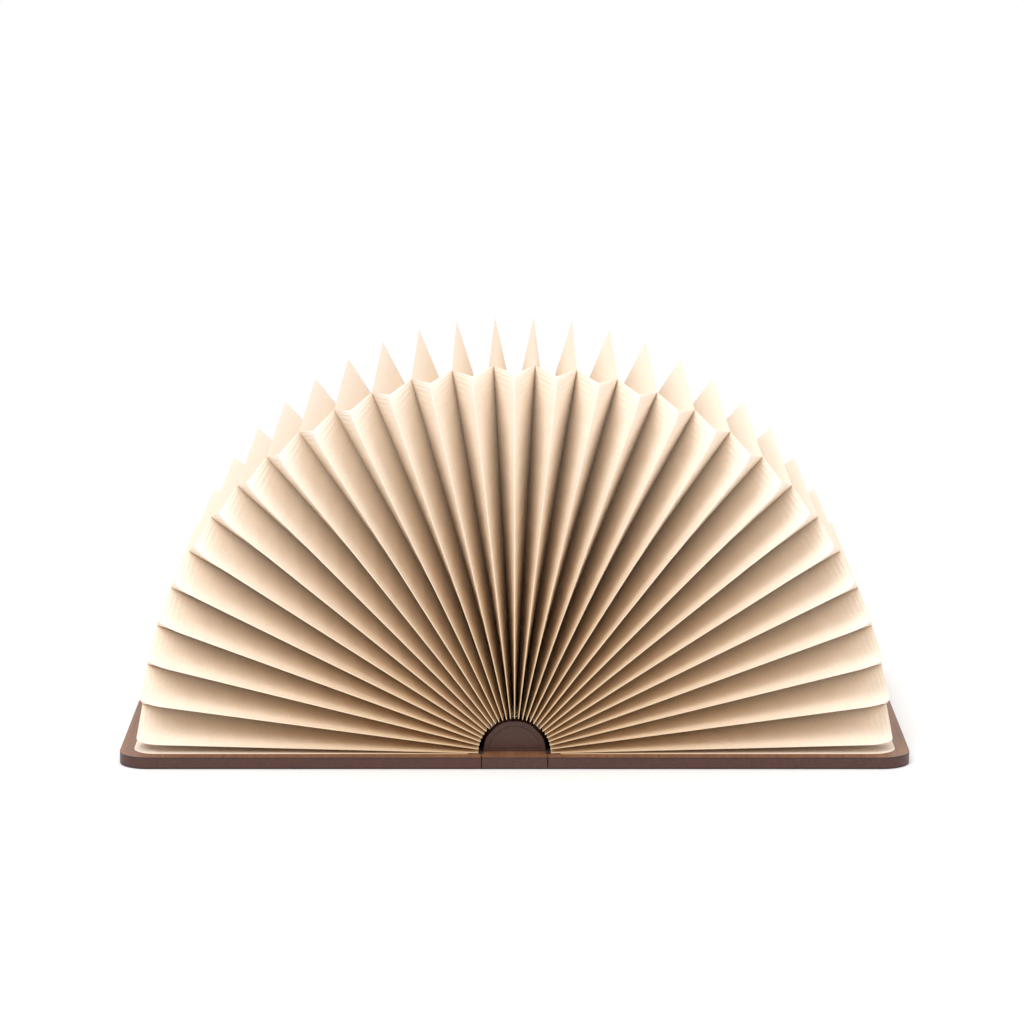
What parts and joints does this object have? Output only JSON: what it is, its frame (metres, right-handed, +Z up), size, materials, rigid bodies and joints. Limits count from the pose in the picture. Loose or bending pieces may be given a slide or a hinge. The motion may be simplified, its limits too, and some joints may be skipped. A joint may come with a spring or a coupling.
{
  "type": "folding book lamp",
  "caption": "Cordless book-shaped lamp that lies open on two wooden covers, with a fan of pleated paper pages over a half-round light core.",
  "frame": {"origin": "middle of the underside with the covers lying open", "axes": "+X across the open covers, +Y from front to back, +Z up"},
  "size_m": [0.371, 0.215, 0.1836],
  "materials": {
    "walnut_veneer": "satin",
    "core_board": "satin",
    "page_paper": "matte",
    "hinge_cloth": "matte",
    "magnet": "plated",
    "core_wood": "satin",
    "screw_steel": "zinc plated",
    "battery_sleeve": "gloss",
    "cradle_plastic": "matte",
    "circuit_laminate": "matte",
    "socket_steel": "satin",
    "switch_plastic": "matte",
    "strip_film": "matte",
    "chip_phosphor": "gloss"
  },
  "bodies": {
    "spine": {"spine_outer_veneer": "walnut_veneer", "spine_board": "core_board", "spine_inner_veneer": "walnut_veneer", "core_screws": "screw_steel", "core_body": "core_wood", "front_end_cap": "core_wood", "rear_end_cap": "core_wood", "battery": "battery_sleeve", "battery_cradle": "cradle_plastic", "circuit_board": "circuit_laminate", "charging_socket": "socket_steel", "lid_switch": "switch_plastic", "led_strip_left": "strip_film", "led_strip_top": "strip_film", "led_strip_right": "strip_film", "led_chips": "chip_phosphor", "left_hinge_cloth": "hinge_cloth", "right_hinge_cloth": "hinge_cloth"},
    "left_cover": {"left_cover_outer_veneer": "walnut_veneer", "left_cover_board": "core_board", "left_cover_inner_veneer": "walnut_veneer", "left_cover_magnets": "magnet", "left_end_leaf": "page_paper"},
    "right_cover": {"right_cover_outer_veneer": "walnut_veneer", "right_cover_board": "core_board", "right_cover_inner_veneer": "walnut_veneer", "right_cover_magnets": "magnet", "right_end_leaf": "page_paper"},
    "left_pages_low": {"pleat_01": "page_paper", "pleat_02": "page_paper", "pleat_03": "page_paper", "pleat_04": "page_paper", "pleat_05": "page_paper"},
    "left_pages_mid": {"pleat_06": "page_paper", "pleat_07": "page_paper", "pleat_08": "page_paper", "pleat_09": "page_paper", "pleat_10": "page_paper"},
    "left_pages_high": {"pleat_11": "page_paper", "pleat_12": "page_paper", "pleat_13": "page_paper", "pleat_14": "page_paper"},
    "right_pages_high": {"pleat_15": "page_paper", "pleat_16": "page_paper", "pleat_17": "page_paper", "pleat_18": "page_paper"},
    "right_pages_mid": {"pleat_19": "page_paper", "pleat_20": "page_paper", "pleat_21": "page_paper", "pleat_22": "page_paper", "pleat_23": "page_paper"},
    "right_pages_low": {"pleat_24": "page_paper", "pleat_25": "page_paper", "pleat_26": "page_paper", "pleat_27": "page_paper", "pleat_28": "page_paper"}
  },
  "joints": [
    {"name": "left_cover_hinge", "type": "hinge", "parent": "spine", "child": "left_cover", "pos_m": [-0.0157, 0, 0.0055], "axis": [0, 1, 0], "range_deg": [0, 90], "deforming": ["left_hinge_cloth"]},
    {"name": "right_cover_hinge", "type": "hinge", "parent": "spine", "child": "right_cover", "pos_m": [0.0157, 0, 0.0055], "axis": [0, -1, 0], "range_deg": [0, 90], "deforming": ["right_hinge_cloth"]},
    {"name": "left_pages_low_swing", "type": "hinge", "parent": "spine", "child": "left_pages_low", "pos_m": [-0.01273, 0, 0.00947], "axis": [0, 1, 0], "range_deg": [0, 72.7], "deforming": ["pleat_01", "pleat_02", "pleat_03", "pleat_04", "pleat_05"]},
    {"name": "left_pages_mid_swing", "type": "hinge", "parent": "spine", "child": "left_pages_mid", "pos_m": [-0.0072, 0, 0.01375], "axis": [0, 1, 0], "range_deg": [0, 41.09], "deforming": ["pleat_06", "pleat_07", "pleat_08", "pleat_09", "pleat_10"]},
    {"name": "left_pages_high_swing", "type": "hinge", "parent": "spine", "child": "left_pages_high", "pos_m": [-0.00221, 0, 0.01537], "axis": [0, 1, 0], "range_deg": [0, 12.64], "deforming": ["pleat_11", "pleat_12", "pleat_13", "pleat_14"]},
    {"name": "right_pages_high_swing", "type": "hinge", "parent": "spine", "child": "right_pages_high", "pos_m": [0.00221, 0, 0.01537], "axis": [0, -1, 0], "range_deg": [0, 12.64], "deforming": ["pleat_15", "pleat_16", "pleat_17", "pleat_18"]},
    {"name": "right_pages_mid_swing", "type": "hinge", "parent": "spine", "child": "right_pages_mid", "pos_m": [0.0072, 0, 0.01375], "axis": [0, -1, 0], "range_deg": [0, 41.09], "deforming": ["pleat_19", "pleat_20", "pleat_21", "pleat_22", "pleat_23"]},
    {"name": "right_pages_low_swing", "type": "hinge", "parent": "spine", "child": "right_pages_low", "pos_m": [0.01273, 0, 0.00947], "axis": [0, -1, 0], "range_deg": [0, 72.7], "deforming": ["pleat_24", "pleat_25", "pleat_26", "pleat_27", "pleat_28"]}
  ],
  "couplings": [
    {"joint": "left_pages_low_swing", "follows": "left_cover_hinge", "ratio": 0.80774},
    {"joint": "left_pages_mid_swing", "follows": "left_cover_hinge", "ratio": 0.45655},
    {"joint": "left_pages_high_swing", "follows": "left_cover_hinge", "ratio": 0.14048},
    {"joint": "right_pages_high_swing", "follows": "right_cover_hinge", "ratio": 0.14048},
    {"joint": "right_pages_mid_swing", "follows": "right_cover_hinge", "ratio": 0.45655},
    {"joint": "right_pages_low_swing", "follows": "right_cover_hinge", "ratio": 0.80774}
  ]
}
